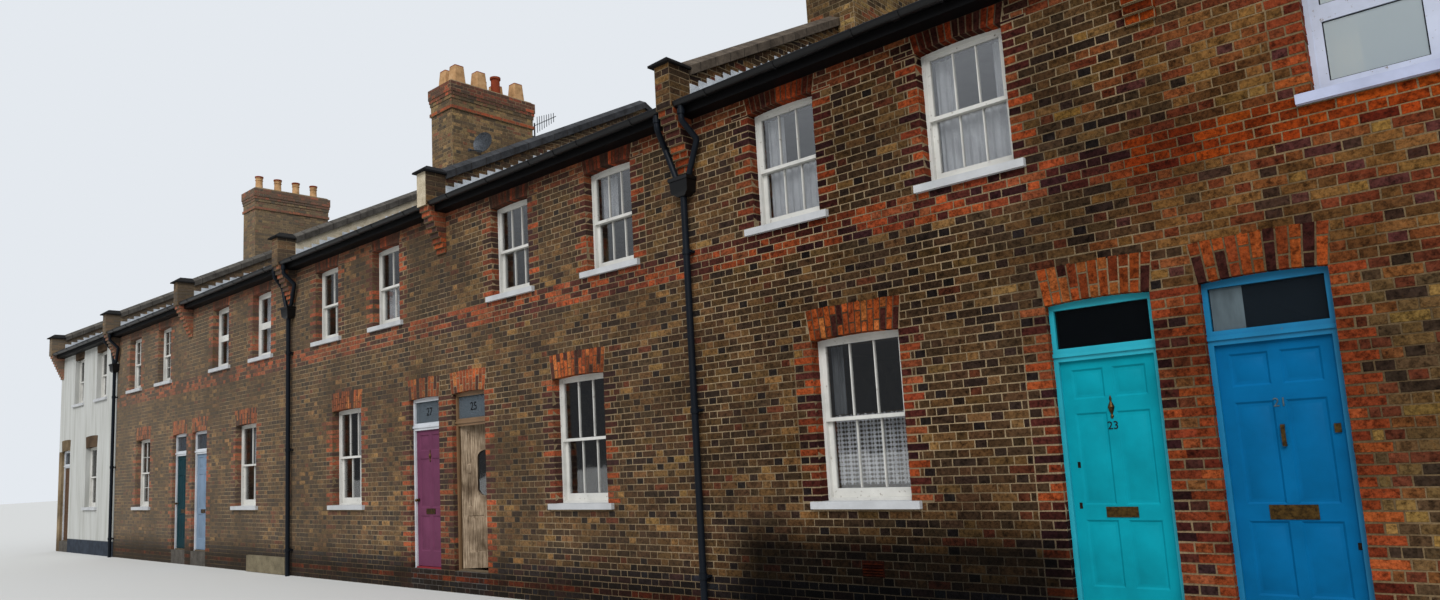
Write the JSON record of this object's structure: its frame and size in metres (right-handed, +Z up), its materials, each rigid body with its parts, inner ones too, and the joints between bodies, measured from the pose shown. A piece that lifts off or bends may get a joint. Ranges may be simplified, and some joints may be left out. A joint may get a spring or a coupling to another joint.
{
  "type": "terraced house row",
  "caption": "Row of two-storey brick terraced houses with paired front doors, sash windows, parapet party walls, slate roof and chimney stacks.",
  "frame": {"origin": "centre of the row's footprint at pavement level", "axes": "+X along the row to the right seen from the street, -Y towards the street, +Z up"},
  "size_m": [35.315, 9.18, 10.34],
  "materials": {
    "back_door_paint": "painted timber",
    "black_iron": "black painted cast iron",
    "black_paint": "black painted timber",
    "blue_brick": "dark engineering brick",
    "buff_clay": "buff fired clay",
    "ceiling_plaster": "plastered joists",
    "coping": "weathered stone coping",
    "cream_render": "painted smooth render",
    "door_furniture": "aged brass",
    "door_paint_1": "brown stained timber",
    "door_paint_2": "dark teal gloss paint",
    "door_paint_3": "pale blue gloss paint",
    "door_paint_4": "plum gloss paint",
    "door_paint_5": "bare weathered timber",
    "door_paint_6": "turquoise gloss paint",
    "door_paint_7": "blue gloss paint",
    "floorboards": "softwood boards and joists",
    "frame_paint": "painted timber",
    "glass": "clear window glass",
    "red_brick": "red rubbed brick",
    "ridge_clay": "fired clay ridge tile",
    "sill_paint": "white painted stone",
    "slate": "grey roofing slate",
    "stock_brick": "weathered yellow stock brick in lime mortar",
    "threshold_wood": "weathered hardwood",
    "window_paint": "white gloss painted timber"
  },
  "bodies": {
    "row": {"back_doors": "back_door_paint", "ceilings": "ceiling_plaster", "chimney_pots": "buff_clay", "chimney_stacks": "stock_brick", "door_arches": "red_brick", "door_frames": "frame_paint", "door_piers": "stock_brick", "door_steps": "blue_brick", "door_thresholds": "threshold_wood", "downpipes": "black_iron", "fanlights": "glass", "fascias": "black_paint", "ground_floors": "floorboards", "gutters": "black_iron", "hoppers": "black_iron", "lower_cream_wall": "cream_render", "lower_front_wall": "stock_brick", "parapet_copings": "coping", "parapet_ends": "stock_brick", "party_walls": "stock_brick", "rear_arches": "red_brick", "rear_cream_wall": "cream_render", "rear_wall_left": "stock_brick", "rear_wall_middle": "stock_brick", "rear_wall_right": "stock_brick", "ridge_tiles": "ridge_clay", "roof_front": "slate", "roof_rear": "slate", "upper_cream_wall": "cream_render", "upper_floors": "floorboards", "upper_front_wall_left": "stock_brick", "upper_front_wall_middle": "stock_brick", "upper_front_wall_right": "stock_brick", "window_arches": "red_brick", "window_frames": "window_paint", "window_glass": "glass", "window_sills": "sill_paint"},
    "door_1": {"door_1": "door_paint_1", "door_metal_1": "door_furniture"},
    "door_2": {"door_2": "door_paint_2", "door_metal_2": "door_furniture"},
    "door_3": {"door_3": "door_paint_3", "door_metal_3": "door_furniture"},
    "door_4": {"door_4": "door_paint_4", "door_metal_4": "door_furniture"},
    "door_5": {"door_5": "door_paint_5", "door_metal_5": "door_furniture"},
    "door_6": {"door_6": "door_paint_6", "door_metal_6": "door_furniture"},
    "door_7": {"door_7": "door_paint_7", "door_metal_7": "door_furniture"}
  },
  "joints": [
    {"name": "door_1_hinge", "type": "hinge", "parent": "row", "child": "door_1", "pos_m": [-17.302, -4.056, 1.3], "axis": [0, 0, 1], "range_deg": [0, 90]},
    {"name": "door_2_hinge", "type": "hinge", "parent": "row", "child": "door_2", "pos_m": [-7.698, -4.056, 1.3], "axis": [0, 0, -1], "range_deg": [0, 90]},
    {"name": "door_3_hinge", "type": "hinge", "parent": "row", "child": "door_3", "pos_m": [-7.302, -4.056, 1.3], "axis": [0, 0, 1], "range_deg": [0, 90]},
    {"name": "door_4_hinge", "type": "hinge", "parent": "row", "child": "door_4", "pos_m": [2.302, -4.056, 1.3], "axis": [0, 0, -1], "range_deg": [0, 90]},
    {"name": "door_5_hinge", "type": "hinge", "parent": "row", "child": "door_5", "pos_m": [2.698, -4.056, 1.3], "axis": [0, 0, 1], "range_deg": [-30, 60]},
    {"name": "door_6_hinge", "type": "hinge", "parent": "row", "child": "door_6", "pos_m": [12.192, -4.056, 1.3], "axis": [0, 0, -1], "range_deg": [0, 90]},
    {"name": "door_7_hinge", "type": "hinge", "parent": "row", "child": "door_7", "pos_m": [12.588, -4.056, 1.3], "axis": [0, 0, 1], "range_deg": [0, 90]}
  ]
}
